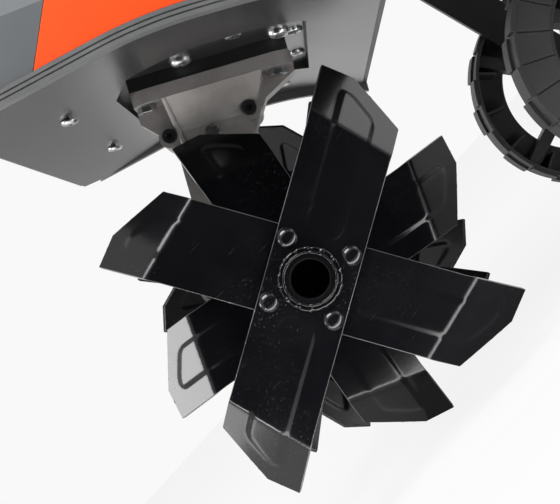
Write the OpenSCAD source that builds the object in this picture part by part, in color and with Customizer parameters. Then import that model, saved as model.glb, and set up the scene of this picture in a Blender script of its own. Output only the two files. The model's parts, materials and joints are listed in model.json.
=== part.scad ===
// Cordless garden tiller: four tine discs under an arched guard, a worm gearbox,
// a battery motor under a plastic hood, transport wheels and a folding handle.
// Machine frame: X to the rear, Y across, Z up, origin on the tine axle.
// The finished machine is pitched back so that it stands on its tines and wheels.

/* [Tines] */
// Radius reached by the blade tips
tine_reach = 110; // [100:1:120]
// Width of a blade strip
blade_w = 45; // [38:1:48]
// Thickness of a blade strip
blade_t = 3; // [2:0.5:4]
// How far the blade tips are bent towards the gearbox
blade_bend = 42; // [25:1:48]
// Skew of the bend line across the blade
blade_skew = 15; // [0:1:20]
// Distance from the axle to the bend, along the middle of the blade
bend_at = 74; // [66:1:80]
// Length of the square end of a blade tip
tip_flat = 17; // [10:1:22]
// Distance from the axle to the foot of the sloping tip edge
tip_shoulder = 84; // [80:1:92]
// Joint plane of the outer disc's two strips, from the middle of the machine
outer_disc_y = 120; // [112:1:130]
// Joint plane of the inner disc's two strips, from the middle of the machine
inner_disc_y = 51; // [51:1:58]
// Outer diameter of the tine hub tube
hub_od = 28; // [26:0.5:30]
// How far the hub tube stands out of the outer disc
hub_proud = 3; // [2:0.5:8]
// Diameter of the circle that the blade rivets sit on
rivet_circle_d = 47; // [46:0.5:49]
// Diameter of a rivet head
rivet_head_d = 10.5; // [8:0.5:11]

/* [Gearbox] */
// Diameter of the tine shaft
shaft_d = 20; // [16:0.5:21]
// Teeth on the worm wheel
wheel_teeth = 30; // [28:1:32]
// Module of the worm drive
gear_module = 1.6; // [1.5:0.05:1.7]
// Pitch diameter of the worm
worm_pitch_d = 18; // [17:0.5:19]
// Half width of the gearbox casting
case_half_w = 17; // [16.5:0.5:18]
// Thickness of the gearbox mounting flange
flange_t = 8; // [6:0.5:10]
// Half width of the gearbox mounting flange
flange_half_w = 30; // [28:0.5:34]
// Thickness of the spacer between the flange and the guard
spacer_t = 8; // [6:0.5:10]

/* [Guard] */
// Height of the guard's crown above the tine axle
guard_h = 138; // [136:1:150]
// Radius of the guard's arch
guard_r = 190; // [170:5:230]
// Slope of the guard's front, in degrees
front_fall = 16; // [14:0.5:18]
// Slope of the guard's rear, in degrees
rear_fall = 13; // [10:0.5:15]
// Length of the guard ahead of the axle
guard_front = 144; // [136:1:150]
// Length of the guard behind the axle
guard_rear = 73; // [66:1:76]
// Half width of the guard
guard_half_w = 158; // [150:1:164]
// Thickness of the guard's sheet
guard_t = 2; // [1.5:0.5:3]
// Half width of the raised pan in the guard
pan_half_w = 73; // [68:1:80]
// How far the moulded rim hangs below the guard's crown
rim_hang = 6; // [5:0.5:8]
// Height of the moulded rim
rim_h = 7.5; // [6:0.5:9]

/* [Hood] */
// Height of the hood's top above the tine axle
hood_top = 286; // [280:1:300]
// Wall of the hood
hood_wall = 3; // [2:0.5:4]
// Battery length across the machine
battery_w = 120; // [100:1:124]
// Battery height
battery_h = 100; // [80:1:110]

/* [Motor] */
// Outer diameter of the motor
motor_d = 78; // [70:1:80]
// Length of the motor
motor_l = 88; // [80:1:92]

/* [Wheels] */
// Radius of a transport wheel
wheel_r = 70; // [66:1:76]
// Width of a transport wheel
wheel_w = 30; // [28:1:44]
// Wheel axle behind the tine axle
wheel_x = 204; // [200:1:212]
// Wheel axle above the tine axle
wheel_z = 79.5; // [76:0.5:86]
// Diameter of the wheel axle
wheel_axle_d = 12; // [10:0.5:14]
// Thickness of a wheel arm
arm_t = 5; // [4:0.5:6]
// Inner face of a wheel arm, from the middle of the machine
arm_y = 52; // [48:0.5:56]
// Middle of a lower handle tube, from the middle of the machine
tube_y = 128; // [120:1:132]

/* [Handle] */
// Angle of the handle above the guard's level
handle_angle = 54; // [50:1:58]
// Outer diameter of the handle tubes
tube_d = 22; // [20:0.5:24]
// Wall of the handle tubes
tube_wall = 1.5; // [1:0.1:2]
// Length of a lower handle tube
lower_l = 430; // [400:5:460]
// Length from the fold bolt to the crossbar
upper_l = 420; // [400:5:440]
// Bend radius of the upper handle
handle_bend_r = 45; // [40:1:50]
// Diameter of the foam grips
grip_d = 31; // [27:0.5:32]

/* [Hidden] */
$fn = 48;

// Radial clearance of turning fits
run = 0.05;
// Gap between pieces that are screwed together or stand apart
gap = 0.3;
// Overrun of cutting shapes
over = 1;

// Blades
tip_v = blade_w / 2 + 2;
tip_z = sqrt(tine_reach ^ 2 - tip_v ^ 2);
tip_lag = atan2(tip_v, tip_z);
bend_r = blade_t;
bend_steps = 6;
bend_dist = bend_at * cos(blade_skew);
hub_r = hub_od / 2;
hub_in = case_half_w + 16;
hub_out = outer_disc_y + blade_t + hub_proud;
weld = 3.2;
rivet_r = 2.9;
rivet_crown = 2.6;
// Angle of the lowest tip corner of each disc: left outer, left inner, right inner, right outer
disc_clock = [50.5, 90, 46.5, 27];
pin_y = (outer_disc_y + inner_disc_y) / 2 - 12;
pin_r = 3;
pin_reach = hub_r + 6;
clip_r = 1;

// Worm drive
shaft_r = shaft_d / 2;
shaft_end = pin_y + 15;
socket_r = shaft_r + 0.3;
wheel_pitch_r = gear_module * wheel_teeth / 2;
worm_pitch_r = worm_pitch_d / 2;
worm_x = -(wheel_pitch_r + worm_pitch_r);
worm_pitch = PI * gear_module;
tooth_h = 0.9 * gear_module;
tooth_flank = 0.62 * gear_module;
worm_core_r = worm_pitch_r - 1.1 * gear_module;
worm_turns = 6;
worm_steps = 16;
worm_half = (worm_turns + 1.4) * worm_pitch / 2;
spindle_r = 6;
face_w = 14;
mate = 0.4;

// Gearbox
bearing_r = shaft_r + 11;
bearing_w = 12;
bearing_y = 9.2;
seal_r = shaft_r + 7;
seal_w = 7;
spindle_bearing_r = case_half_w - 3;
spindle_bearing_w = 8;
chamber_r = wheel_pitch_r + tooth_h + 2.4;
chamber_half_w = bearing_y - 0.2;
boss_r = bearing_r + 5;
boss_y = hub_in - 3;
column_half = 23;
column_foot = -worm_half - spindle_bearing_w - 12;
flange_front = 41;
flange_rear = 57;
pan_roof = guard_h + 2;
flange_top = pan_roof - spacer_t;
flange_bottom = flange_top - flange_t;
upper_bearing_z = flange_bottom - 20;
gusset_half = case_half_w - 9;
flange_bolt_x = [-33, 47];
flange_bolt_y = 20;
bolt_r = 3;
bolt_head_r = 5.8;
bolt_head_h = 4.4;
screw_r = 2.5;
screw_head_r = 4.3;
screw_head_h = 4;
screw_boss_r = 6.8;
flare_h = 20;
gear_case_r = chamber_r + 8;
case_screws = [[worm_x - 25, flange_bottom - 21], [worm_x + 25, flange_bottom - 18],
    [gear_case_r * cos(40), gear_case_r * sin(40)],
    [gear_case_r * cos(-45), gear_case_r * sin(-45)], [worm_x - 26, 8]];
plug_z = flange_bottom - 26;

// Guard and hood base
crown_front = -16;
crown_rear = 0;
pan_front = worm_x - flange_front - 6;
pan_rear = worm_x + flange_rear + 12;
pan_corner = [12, 30];
base_front = guard_front + 3;
base_rear = guard_rear + 4;
base_t = 3;
base_edge_h = 6;
base_edge_w = 4;
base_wall_t = 2.3;
base_half_w = guard_half_w + base_wall_t + gap;
base_foot = guard_t + gap;
corner_cut = 16;
rim_r = 245;
rim_fall = 12;
rim_out = base_half_w + 4.5;
rim_start = guard_front - 8;
guard_screw_xy = [[-104, -68], [-104, 68]];
pan_screw_xy = [[-5, -66], [-5, 66], [29.5, -33], [29.5, 33]];
pan_bolt_xy = [[-38, -42], [20, -42], [-38, 42], [20, 42]];
guard_screw_r = 2;
guard_head_r = 5;
guard_head_h = 2.2;
pan_head_r = 6.5;
pan_head_h = 4;
screw_grip = 12;

// Hood, with the battery in its bay behind the motor
motor_r = motor_d / 2;
motor_foot = pan_roof + guard_t;
motor_top = motor_foot + motor_l;
spindle_top = motor_top + 20;
hood_rear = base_rear - 1;
front_split = worm_x - 57.5;
split_foot = guard_h + 4;
split_lean = 0.45;
hood_top_front = [worm_x - 40, 66];
hood_top_rear_y = 74;
vents = 5;
vent_half = 48;
vent_h = 4.5;
vent_step = 11;
vent_foot = guard_h + 26;
controls_l = 38;
controls_half = 44;
controls_top = guard_h + 20;
bay_wall = 2;
bay_front = worm_x + motor_r + 4;
bay_rear = hood_rear - hood_wall - 1.5;
bay_play = 1;
battery_l = bay_rear - bay_front - 2 * bay_wall - 2 * bay_play;
battery_x = (bay_front + bay_rear) / 2;
battery_foot = hood_top + 12 - battery_h;
bay_foot = battery_foot - gap - bay_wall;
latch_r = 8;
latch_travel = 3;

// Rear frame, wheels and handle
frame_t = 4;
frame_x = base_rear + gap;
frame_foot = guard_h + 8;
frame_h = 78;
frame_top = frame_foot + frame_h;
frame_screw_y = 88;
frame_screw_in = 14;
frame_back = frame_x + frame_t;
tube_r = tube_d / 2;
lower_y = tube_y;
upper_y = lower_y + tube_d + 1;
tube_foot_z = frame_foot + 24;
handle_tilt = 90 - handle_angle;
fold_x = frame_back + lower_l * cos(handle_angle);
fold_z = tube_foot_z + lower_l * sin(handle_angle);
arm_foot_h = 30;
arm_foot_w = 24;
arm_foot_z = frame_top - arm_foot_h - 2;
arm_boss_r = wheel_axle_d / 2 + 7;
arm_bolt_r = 3.5;
arm_bolt_in = 7.5;
arm_bolt_head_r = 6;
arm_bolt_head_h = 4;
wheel_axle_r = wheel_axle_d / 2;
wheel_in = arm_y + arm_t + 1;
wheel_out = wheel_in + wheel_w;
tread = 8;
blocks = 12;
block_cut = 1.6;
block_half = PI * wheel_r / blocks / 2 - 0.75;
wheel_hub_r = wheel_axle_r + 8;
window_r = 0.67 * wheel_r;
wheel_web = 5;
spokes = 5;
spoke_t = 8;
spoke_w = 14;
cap_w = 6;
fold_r = 4;
tail_l = 60;
stop_t = 4;
stop_l = 8;
knob_y = upper_y + tube_r + 0.6;
knob_r = 19;
knob_w = 16;
knob_lobes = 5;
box_half = 26;
box_front = 40;
box_back = 20;
box_low = 18;
box_high = 22;
grip_end = upper_y - handle_bend_r;
bar_r = 4;
bar_half = grip_end - 6;
bar_drop = 36;
bar_pivot = [-30, -8];
bar_pin_r = 3;
bar_ear = 6;
button_r = 7;
button_x = -26;
button_h = 14;
button_proud = 6;

// Standing attitude: the lowest tine tip and the wheels share the ground
park_pitch = atan2(wheel_z, wheel_x)
    + asin((tine_reach - wheel_r) / norm([wheel_x, wheel_z]));
bar_end_x = fold_x + upper_l * cos(handle_angle);
bar_end_z = fold_z + upper_l * sin(handle_angle);
reach_rear = bar_end_x * cos(park_pitch) + bar_end_z * sin(park_pitch);
box_reach = box_high * sin(handle_tilt + park_pitch) + box_back * cos(handle_tilt + park_pitch);
tip_angles = [for (clock = disc_clock, k = [0 : 3]) clock + 90 * k];
reach_front = max([for (a = tip_angles) -tine_reach * sin(a)]);
axle_x = (reach_front - reach_rear - box_reach) / 2;

// Places a piece from the machine frame on the ground
module park() {
    translate([axle_x, 0, tine_reach]) rotate([0, park_pitch, 0]) children();
}

// Places a piece of the tine rotor, turned about the tine axle
module on_axle(turn = 0) {
    translate([axle_x, 0, tine_reach]) rotate([0, turn, 0]) children();
}

// Pieces are drawn on the left; the right one is its mirror image
module on_side(right) {
    mirror([0, right ? 1 : 0, 0]) children();
}

// Puts local Z along the handle, from the fold bolts
module along_handle() {
    translate([fold_x, 0, fold_z]) rotate([0, handle_tilt, 0]) children();
}

module rod_y(r, y0, y1) {
    translate([0, y0, 0]) rotate([-90, 0, 0]) cylinder(r = r, h = y1 - y0);
}

module ring_y(r, bore, y0, y1) {
    difference() {
        rod_y(r, y0, y1);
        rod_y(bore, y0 - over, y1 + over);
    }
}

module ring_z(r, bore, z0, z1) {
    difference() {
        translate([0, 0, z0]) cylinder(r = r, h = z1 - z0);
        translate([0, 0, z0 - over]) cylinder(r = bore, h = z1 - z0 + 2 * over);
    }
}

// Extrudes an outline drawn in X and Z over y0 to y1
module across(y0, y1) {
    translate([0, y1, 0]) rotate([90, 0, 0]) linear_extrude(y1 - y0) children();
}

module box(low, high) {
    translate(low) cube(high - low);
}

function reverse(list) = [for (i = [len(list) - 1 : -1 : 0]) list[i]];
function flip(list) = [for (p = list) [p[0], -p[1]]];

// Blade strip: a flat bar with both ends bent the same way about skewed lines

function bend_arc(r) = [for (i = [0 : bend_steps])
    let (a = blade_bend * i / bend_steps)
    [blade_t / 2 + bend_r - r * cos(a),
     bend_dist - (bend_r + blade_t / 2) * tan(blade_bend / 2) + r * sin(a)]];
function bend_path(r) = let (arc = bend_arc(r), last = arc[bend_steps])
    concat(arc, [last + tine_reach * [sin(blade_bend), cos(blade_bend)]]);

blade_outer = bend_path(bend_r + blade_t);
blade_inner = bend_path(bend_r);
blade_section = concat(blade_outer, reverse(blade_inner), flip(blade_inner),
    reverse(flip(blade_outer)));
blade_end = [[-blade_w / 2, bend_at], [-tip_v, tip_z],
    [tip_flat - tip_v, tip_z - 2], [blade_w / 2, tip_shoulder]];
blade_outline = concat(blade_end, -blade_end);

module rivet_places() {
    for (a = [45 : 90 : 315]) rotate([0, a, 0]) translate([rivet_circle_d / 2, 0, 0]) children();
}

module blade(right, disc, disc_y, back) {
    turn = disc_clock[disc] + tip_lag + (back ? 90 : 0);
    mid = disc_y + (back ? -blade_t / 2 : blade_t / 2);
    color("#17181a") on_axle(turn) on_side(right) translate([0, -mid, 0]) difference() {
        intersection() {
            rotate([0, blade_skew, 0]) rotate([90, 0, 90])
                linear_extrude(4 * blade_w, center = true) polygon(blade_section);
            across(-tine_reach, tine_reach) polygon(blade_outline);
        }
        rod_y(hub_r + 2 * run, -blade_t, blade_t);
        rivet_places() rod_y(rivet_r + run, -blade_t, blade_t);
    }
}

module hub(right) {
    weld_y = outer_disc_y + blade_t;
    color("#1c1d20") on_axle(disc_clock[right ? 3 : 0]) on_side(right) difference() {
        union() {
            rod_y(hub_r, -hub_out, -hub_in);
            translate([0, -weld_y, 0]) rotate([90, 0, 0]) rotate_extrude()
                polygon([[hub_r - over, 0], [hub_r + weld, 0], [hub_r - over, weld + over]]);
        }
        rod_y(shaft_r + run, -hub_out - over, -hub_in + over);
        rod_y(socket_r, -hub_out - over, -shaft_end - over);
        translate([0, -pin_y, 0]) cylinder(r = pin_r + run, h = 3 * hub_od, center = true);
    }
}

module rivet(disc_y) {
    crown_r = (rivet_head_d ^ 2 / 4 + rivet_crown ^ 2) / (2 * rivet_crown);
    rod_y(rivet_r, -disc_y - blade_t - over / 2, -disc_y + blade_t + over / 2);
    for (face = [-1, 1]) translate([0, -disc_y + face * blade_t, 0]) intersection() {
        translate([0, face * (rivet_crown - crown_r), 0]) sphere(r = crown_r);
        rod_y(rivet_head_d, min(0, face * crown_r), max(0, face * crown_r));
    }
}

module rivets(right) {
    first = right ? 3 : 0;
    second = right ? 2 : 1;
    color("#232427") {
        on_axle(disc_clock[first] + tip_lag) on_side(right) rivet_places() rivet(outer_disc_y);
        on_axle(disc_clock[second] + tip_lag) on_side(right) rivet_places() rivet(inner_disc_y);
    }
}

module hub_pin() {
    translate([0, -pin_y, 0]) {
        translate([0, 0, -pin_reach]) cylinder(r = pin_r, h = 2 * pin_reach);
        translate([0, 0, hub_r + 0.4]) cylinder(r = 2 * pin_r, h = pin_reach - hub_r);
    }
}

module hub_pins() {
    color("silver") for (right = [false, true])
        on_axle(disc_clock[right ? 3 : 0]) on_side(right) hub_pin();
}

// Clip ring round the free end of each pin
module pin_clips() {
    color("silver") for (right = [false, true])
        on_axle(disc_clock[right ? 3 : 0]) on_side(right) translate([0, -pin_y, -hub_r - 3])
            rotate_extrude() translate([pin_r + clip_r + run, 0]) circle(r = clip_r);
}

module tine_shaft() {
    color("silver") on_axle() difference() {
        rod_y(shaft_r, -shaft_end, shaft_end);
        for (right = [false, true]) rotate([0, disc_clock[right ? 3 : 0], 0]) on_side(right)
            translate([0, -pin_y, 0]) cylinder(r = pin_r + run, h = 3 * shaft_d, center = true);
    }
}

// Worm wheel: straight-sided teeth, a gap facing the worm

tooth_step = 360 / wheel_teeth;
function tooth_point(i, r, half) =
    let (a = i * tooth_step + half / r * 180 / PI) [r * cos(a), r * sin(a)];
function tooth(i) = [
    tooth_point(i, wheel_pitch_r - tooth_h - mate, -tooth_flank - 0.36 * tooth_h),
    tooth_point(i, wheel_pitch_r + tooth_h, -tooth_flank + 0.36 * tooth_h),
    tooth_point(i, wheel_pitch_r + tooth_h, tooth_flank - 0.36 * tooth_h),
    tooth_point(i, wheel_pitch_r - tooth_h - mate, tooth_flank + 0.36 * tooth_h)];

module worm_wheel() {
    color("#b08d57") on_axle(park_pitch) difference() {
        across(-face_w / 2, face_w / 2) rotate(180 + tooth_step / 2)
            polygon([for (i = [0 : wheel_teeth - 1]) each tooth(i)]);
        rod_y(shaft_r + run, -face_w, face_w);
    }
}

// Worm: one helical thread on a round core, closed with a flat collar at each end

thread_line = [[worm_core_r, -tooth_flank - 0.42 * tooth_h],
    [worm_pitch_r + tooth_h, -tooth_flank + 0.36 * tooth_h],
    [worm_pitch_r + tooth_h, tooth_flank - 0.36 * tooth_h],
    [worm_core_r, tooth_flank + 0.42 * tooth_h]];
thread_points = len(thread_line);
worm_rings = worm_turns * worm_steps;
function thread_at(k, p) = let (a = 360 * k / worm_steps)
    [p[0] * cos(a), p[0] * sin(a), p[1] + worm_pitch * (k / worm_steps - worm_turns / 2)];
function collar_at(k, z) = let (a = 360 * k / worm_steps)
    [worm_core_r * cos(a), worm_core_r * sin(a), z];
worm_points = concat(
    [for (k = [0 : worm_rings], p = thread_line) thread_at(k, p)],
    [for (k = [0 : worm_steps - 1]) collar_at(k, -worm_half)],
    [for (k = [0 : worm_steps - 1]) collar_at(k, worm_half)]);
low_collar = (worm_rings + 1) * thread_points;
high_collar = low_collar + worm_steps;
function on_thread(k, j) = k * thread_points + j;
function on_low(k) = low_collar + k % worm_steps;
function on_high(k) = high_collar + k % worm_steps;
last_turn = worm_rings - worm_steps;
worm_faces = concat(
    [for (k = [0 : worm_rings - 1], j = [0, 2])
        [on_thread(k, j), on_thread(k, j + 1), on_thread(k + 1, j + 1)]],
    [for (k = [0 : worm_rings - 1], j = [0, 2])
        [on_thread(k, j), on_thread(k + 1, j + 1), on_thread(k + 1, j)]],
    [for (k = [0 : worm_rings - 1])
        [on_thread(k, 1), on_thread(k, 2), on_thread(k + 1, 2), on_thread(k + 1, 1)]],
    [for (k = [0 : last_turn - 1])
        [on_thread(k, 3), on_thread(k + worm_steps, 0),
         on_thread(k + worm_steps + 1, 0), on_thread(k + 1, 3)]],
    [for (k = [0 : worm_steps - 2])
        [on_low(k), on_thread(k, 0), on_thread(k + 1, 0), on_low(k + 1)]],
    [[on_low(worm_steps - 1), on_thread(worm_steps - 1, 0), on_thread(worm_steps, 0),
      on_thread(0, 3), on_thread(0, 0), on_low(0)]],
    [for (k = [1 : worm_steps - 1])
        [on_thread(last_turn + k, 3), on_high(k), on_high(k + 1), on_thread(last_turn + k + 1, 3)]],
    [[on_thread(last_turn, 3), on_thread(worm_rings, 0), on_thread(worm_rings, 3),
      on_high(0), on_high(1), on_thread(last_turn + 1, 3)]],
    [[on_thread(0, 0), on_thread(0, 3), on_thread(0, 2), on_thread(0, 1)]],
    [[for (j = [0 : thread_points - 1]) on_thread(worm_rings, j)]],
    [[for (k = [0 : worm_steps - 1]) on_low(k)]],
    [[for (k = [worm_steps - 1 : -1 : 0]) on_high(k)]]);

module worm() {
    color("#8d9196") park() translate([worm_x, 0, 0]) polyhedron(worm_points, worm_faces);
}

module worm_shaft() {
    color("#9a9da1") park() translate([worm_x, 0, 0]) {
        translate([0, 0, worm_half]) cylinder(r = spindle_r, h = flange_top - 4 - worm_half);
        translate([0, 0, -worm_half - spindle_bearing_w - 4])
            cylinder(r = spindle_r, h = spindle_bearing_w + 4);
    }
}

module worm_bearings() {
    color("#a9acb0") park() translate([worm_x, 0, 0]) {
        ring_z(spindle_bearing_r, spindle_r + run, -worm_half - spindle_bearing_w - 2, -worm_half - 2);
        ring_z(spindle_bearing_r, spindle_r + run, upper_bearing_z,
            upper_bearing_z + spindle_bearing_w);
    }
}

module shaft_coupling() {
    joint_z = flange_top - 4;
    color("#3b3d42") park() translate([worm_x, 0, 0])
        ring_z(2 * spindle_r - 1, spindle_r + run, joint_z - 14, joint_z + 14);
}

// Gearbox: two die-cast halves that meet in the middle of the machine

case_outline = [[worm_x - flange_front, flange_bottom + over], [worm_x - flange_front, flange_bottom - 8],
    [worm_x - 27, flange_bottom - 22], [worm_x - column_half, flange_bottom - 30],
    [worm_x - column_half, column_foot + 14], [worm_x - 14, column_foot],
    [worm_x + 14, column_foot], [worm_x + column_half, column_foot + 14],
    [worm_x + column_half, flange_bottom - 33], [worm_x + 36, flange_bottom - 13],
    [worm_x + flange_rear, flange_bottom - 2], [worm_x + flange_rear, flange_bottom + over]];

module case_half_solid() {
    difference() {
        across(-case_half_w, 0) polygon(case_outline);
        for (x = [[-flange_front - over, -column_half - 1], [column_half + 1, flange_rear + over]])
            box([worm_x + x[0], -case_half_w - over, flange_bottom - 32],
                [worm_x + x[1], -gusset_half, flange_bottom]);
    }
    rod_y(gear_case_r, -case_half_w, 0);
    rod_y(boss_r, -boss_y, 0);
    box([worm_x - flange_front, -flange_half_w, flange_bottom],
        [worm_x + flange_rear, 0, flange_top]);
    for (place = case_screws) translate([place[0], 0, place[1]])
        rod_y(screw_boss_r, -case_half_w, 0);
    case_flare();
}

// The side face widens in two slopes to meet the edge of the flange
module case_flare() {
    slopes = [[flange_bottom, flange_half_w - 1, 21.5, 38], [flange_bottom - flare_h / 2, case_half_w + 4, 20, 33],
        [flange_bottom - flare_h, case_half_w, 19, 26]];
    for (i = [0, 1]) hull() for (slope = [slopes[i], slopes[i + 1]])
        box([worm_x - slope[2], -slope[1], slope[0]], [worm_x + slope[3], -1, slope[0] + over]);
}

module gearbox_half(right) {
    color("#8f8a86") park() on_side(right) difference() {
        case_half_solid();
        rod_y(chamber_r, -chamber_half_w, over);
        rod_y(bearing_r + run, -bearing_y - bearing_w, over);
        rod_y(seal_r + run, -boss_y + 1, over);
        rod_y(shaft_r + 1, -boss_y - over, over);
        translate([worm_x, 0, 0]) {
            translate([0, 0, -worm_half - 2]) cylinder(r = spindle_bearing_r - 2, h = 2 * guard_h);
            translate([0, 0, -worm_half - spindle_bearing_w - 2])
                cylinder(r = spindle_bearing_r + run, h = spindle_bearing_w);
            translate([0, 0, -worm_half - spindle_bearing_w - 5]) cylinder(r = spindle_r + 1, h = 20);
            translate([0, 0, upper_bearing_z])
                cylinder(r = spindle_bearing_r + run, h = spindle_bearing_w);
        }
        for (place = case_screws) translate([place[0], 0, place[1]]) {
            rod_y(screw_r + run, -case_half_w - over, over);
            rod_y(screw_head_r + 1, -flange_half_w, -case_half_w);
        }
        flange_bolt_holes();
        if (!right) translate([worm_x, -case_half_w - over, plug_z])
            rotate([-90, 0, 0]) cylinder(r = screw_r + run, h = case_half_w);
    }
}

module gearbox_screws() {
    color("#17181a") park() for (place = case_screws) translate([place[0], 0, place[1]])
        difference() {
            union() {
                rod_y(screw_r, -case_half_w - over, case_half_w);
                rod_y(screw_head_r, -case_half_w - screw_head_h, -case_half_w);
            }
            across(-case_half_w - screw_head_h - over, -case_half_w - 1.5) circle(r = 2.2, $fn = 6);
        }
}

module grease_plug() {
    color("#c9cacb") park() translate([worm_x, 0, plug_z]) {
        rod_y(screw_r, -case_half_w - over, -case_half_w + 2);
        across(-case_half_w - screw_head_h, -case_half_w) circle(r = screw_head_r + 0.7, $fn = 6);
    }
}

// Holes of the flange bolts, from the flange up through the guard
module flange_bolt_holes() {
    for (x = flange_bolt_x, side = [-1, 1]) translate([worm_x + x, side * flange_bolt_y, flange_bottom - over])
        cylinder(r = bolt_r + run, h = 2 * guard_h);
}

module flange_spacer() {
    edge = over;
    color("#1b1c1e") park() difference() {
        box([worm_x - flange_front + edge, edge - flange_half_w, flange_top],
            [worm_x + flange_rear - edge, flange_half_w - edge, pan_roof]);
        flange_bolt_holes();
        translate([worm_x, 0, 0]) cylinder(r = 2 * spindle_r + 2, h = 2 * guard_h);
    }
}

module flange_bolts() {
    color("#d4d5d6") park() for (x = flange_bolt_x, side = [-1, 1])
        translate([worm_x + x, side * flange_bolt_y, flange_bottom]) {
            translate([0, 0, -bolt_head_h]) cylinder(r = bolt_head_r, h = bolt_head_h, $fn = 6);
            translate([0, 0, -over])
                cylinder(r = bolt_r, h = flange_t + spacer_t + guard_t + over - gap);
        }
}

module tine_bearings() {
    color("#a9acb0") park() for (right = [false, true]) on_side(right)
        ring_y(bearing_r, shaft_r + run, -bearing_y - bearing_w, -bearing_y);
}

module shaft_seals() {
    color("#222") park() for (right = [false, true]) on_side(right)
        ring_y(seal_r, shaft_r + 2 * run, -bearing_y - bearing_w - seal_w, -bearing_y - bearing_w);
}

// Motor

module motor_can() {
    color("#55585c") park() translate([worm_x, 0, 0]) {
        ring_z(motor_r, motor_r - 8, motor_foot + 4, motor_top - 4);
        ring_z(motor_r, spindle_r + 8, motor_foot, motor_foot + 4);
        ring_z(motor_r, spindle_r + run, motor_top - 4, motor_top);
    }
}

module motor_rotor() {
    color("#b98c5a") park() translate([worm_x, 0, 0]) {
        translate([0, 0, motor_foot + 18]) cylinder(r = motor_r - 9, h = motor_l - 36);
        translate([0, 0, flange_top - 4]) cylinder(r = spindle_r, h = spindle_top - flange_top + 4);
    }
}

module cooling_fan() {
    vanes = 9;
    color("#2b2d30") park() translate([worm_x, 0, motor_top + 3]) difference() {
        union() {
            cylinder(r = motor_r - 5, h = 2);
            cylinder(r = spindle_r + 5, h = 14);
            for (k = [0 : vanes - 1]) rotate(360 * k / vanes)
                box([spindle_r + 4, -1, 1], [motor_r - 5, 1, 13]);
        }
        translate([0, 0, -over]) cylinder(r = spindle_r + run, h = 30);
    }
}

// Guard: an arched steel sheet with a raised pan that the gearbox hangs from

// Fall of an arch at a distance from its crown: a round bend, then a straight slope
function arch_fall(away, r, fall) = away < r * sin(fall)
    ? r - sqrt(r ^ 2 - max(away, 0) ^ 2)
    : r * (1 - cos(fall)) + (away - r * sin(fall)) * tan(fall);
function guard_z(x) = guard_h - (x < crown_front
    ? arch_fall(crown_front - x, guard_r, front_fall) : arch_fall(x - crown_rear, guard_r, rear_fall));
function rim_z(x) = guard_h - rim_hang
    - arch_fall(x < crown_front ? crown_front - x : x - crown_rear, rim_r, rim_fall);
arch_steps = 8;
function bend_x(r, front, rear) = concat(
    [for (i = [0 : arch_steps]) crown_front - r * sin(front) * (1 - i / arch_steps)],
    [for (i = [0 : arch_steps]) crown_rear + r * sin(rear) * i / arch_steps]);
function arch_line(front, rear, up) =
    [for (x = concat([-front], bend_x(guard_r, front_fall, rear_fall), [rear])) [x, guard_z(x) + up]];
function rim_line(front, rear, up) =
    [for (x = concat([-front], bend_x(rim_r, rim_fall, rim_fall), [rear])) [x, rim_z(x) + up]];

// Sheet that follows the arch between two heights over the guard's underside
module arch(front, rear, low, high, y0, y1) {
    across(y0, y1) polygon(concat(arch_line(front, rear, low), reverse(arch_line(front, rear, high))));
}

// Everything below a line that spans the machine
module below(line, half_w) {
    reach = 2 * guard_h;
    across(-half_w, half_w) polygon(concat(line, [[reach, -reach], [-reach, -reach]]));
}

module under_arch(up, half_w = 2 * guard_h) {
    below(arch_line(2 * guard_h, 2 * guard_h, up), half_w);
}

module front_corners(front, half_w, cut) {
    for (side = [-1, 1]) translate([-front, side * half_w, 0]) rotate(45)
        cube([cut * sqrt(2), cut * sqrt(2), 4 * guard_h], center = true);
}

module screw_holes(places, r) {
    for (place = places) translate([place[0], place[1], 0]) cylinder(r = r, h = 2 * guard_h);
}

function pan_side(grow) = [[pan_front - grow, pan_half_w - pan_corner[1] + grow / 2],
    [pan_front + pan_corner[0] - grow / 2, pan_half_w + grow], [pan_rear + grow, pan_half_w + grow]];
function pan_outline(grow) = concat(pan_side(grow), reverse(flip(pan_side(grow))));

// Block of the pan's outline, up to a height
module pan_block(grow, top) {
    linear_extrude(top) polygon(pan_outline(grow));
}

module guard_plate() {
    hem = guard_t / 4;
    color("#4b4c4e") park() difference() {
        union() {
            difference() {
                arch(guard_front, guard_rear, 0, guard_t, -guard_half_w, guard_half_w);
                pan_block(-hem, 2 * guard_h);
            }
            difference() {
                pan_block(guard_t, pan_roof + guard_t);
                pan_block(0, pan_roof);
                under_arch(guard_t / 2);
            }
        }
        front_corners(guard_front, guard_half_w, corner_cut);
        screw_holes(concat(guard_screw_xy, pan_screw_xy, pan_bolt_xy), guard_screw_r + run);
        flange_bolt_holes();
        translate([worm_x, 0, pan_roof - over]) cylinder(r = 2 * spindle_r + 2, h = guard_t + 2 * over);
    }
}

module pan_head(z, head_r, head_h, length) {
    translate([0, 0, z - head_h]) cylinder(r1 = head_r * 0.72, r2 = head_r, h = head_h);
    translate([0, 0, z - over]) cylinder(r = guard_screw_r, h = length + over);
}

module guard_screws() {
    roof_grip = guard_t + base_t;
    color("#dcdddd") park() {
        for (place = guard_screw_xy) translate([place[0], place[1], 0])
            pan_head(guard_z(place[0] - guard_head_r), guard_head_r, guard_head_h, screw_grip);
        for (place = pan_screw_xy) translate([place[0], place[1], 0])
            pan_head(pan_roof, guard_head_r, guard_head_h, roof_grip);
        for (place = pan_bolt_xy) translate([place[0], place[1], 0])
            pan_head(pan_roof, pan_head_r, pan_head_h, roof_grip);
    }
}

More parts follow.
